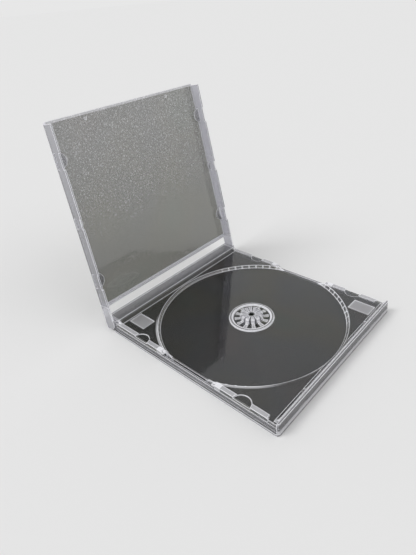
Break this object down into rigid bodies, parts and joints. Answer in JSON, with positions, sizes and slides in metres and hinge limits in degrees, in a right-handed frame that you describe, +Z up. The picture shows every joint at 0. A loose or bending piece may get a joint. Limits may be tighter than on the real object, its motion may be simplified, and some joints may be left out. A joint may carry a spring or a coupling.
{
  "type": "cd storage box",
  "caption": "Flat clear plastic disc case with a hinged lid standing open over a base that holds a moulded tray with a round well and a fingered hub.",
  "frame": {"origin": "middle of the base's underside, which rests on the table", "axes": "+X from the hinge towards the free edge, +Y along the hinge, +Z up"},
  "size_m": [0.1657, 0.125, 0.14],
  "materials": {
    "clear_plastic": "clear polystyrene, polished"
  },
  "bodies": {
    "base": {"base_shell": "clear_plastic", "disc_tray": "clear_plastic"},
    "lid": {"lid": "clear_plastic"}
  },
  "joints": [
    {"name": "lid_hinge", "type": "hinge", "parent": "base", "child": "lid", "pos_m": [-0.0663, 0, 0.0054], "axis": [0, -1, 0], "range_deg": [-100, 80]}
  ]
}
